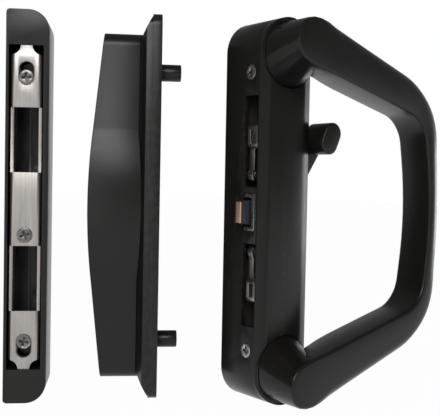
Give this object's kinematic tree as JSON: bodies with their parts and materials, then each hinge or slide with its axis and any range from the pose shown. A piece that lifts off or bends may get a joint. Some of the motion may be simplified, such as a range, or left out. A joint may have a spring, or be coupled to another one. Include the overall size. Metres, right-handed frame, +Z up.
{
  "type": "sliding door handle set",
  "caption": "Black sliding door handle set: surface lock with swinging hooks, thumb snib and D handle, a bowed exterior pull with threaded posts, and a keeper with a steel strike.",
  "frame": {"origin": "centre of the lock housing's door face", "axes": "+Z up along the lock, -Y into the room, -X towards the lock edge; the pull and the keeper stand beside the lock, turned about Z, as they are set out in the picture"},
  "size_m": [0.2255, 0.1376, 0.216],
  "materials": {
    "black_coat": "satin",
    "steel": "brushed",
    "black_plastic": "matte",
    "copper_plate": "satin"
  },
  "bodies": {
    "set": {"lock_housing": "black_coat", "front_cover": "black_coat", "d_handle": "black_coat", "lock_case": "steel", "snib_pivot": "steel", "upper_pivot": "steel", "lower_pivot": "steel", "trigger_spring": "steel", "trigger_bracket": "steel", "edge_screw_upper": "steel", "edge_screw_lower": "steel", "handle_screw_upper": "steel", "handle_screw_lower": "steel", "pull_flange": "black_coat", "pull_grip": "black_coat", "pull_post_upper": "black_coat", "pull_post_lower": "black_coat", "keeper_housing": "black_coat", "strike_plate": "steel", "keeper_screw_top": "steel", "keeper_screw_middle": "steel", "keeper_screw_bottom": "steel"},
    "snib": {"snib_lever": "black_coat", "snib_collar": "steel", "snib_knob": "black_coat"},
    "upper_hook_body": {"upper_hook": "steel"},
    "lower_hook_body": {"lower_hook": "steel"},
    "trigger": {"trigger_body": "black_plastic", "trigger_tip": "copper_plate"}
  },
  "joints": [
    {"name": "snib_turn", "type": "hinge", "parent": "set", "child": "snib", "pos_m": [0, -0.0205, -0.0006], "axis": [0, 1, 0], "range_deg": [0, 90]},
    {"name": "upper_hook_swing", "type": "hinge", "parent": "set", "child": "upper_hook_body", "pos_m": [-0.0124, -0.0206, 0.0198], "axis": [0, 1, 0], "range_deg": [-90, 0]},
    {"name": "lower_hook_swing", "type": "hinge", "parent": "set", "child": "lower_hook_body", "pos_m": [-0.0124, -0.0216, -0.0214], "axis": [0, 1, 0], "range_deg": [0, 90]},
    {"name": "trigger_slide", "type": "slide", "parent": "set", "child": "trigger", "axis": [1, 0, 0], "range_m": [0, 0.005], "stiffness_N_per_m": 200, "springref_m": -0.006, "deforming": ["trigger_spring"]}
  ],
  "couplings": [
    {"joint": "upper_hook_swing", "follows": "snib_turn", "ratio": -1},
    {"joint": "lower_hook_swing", "follows": "snib_turn", "ratio": 1}
  ]
}
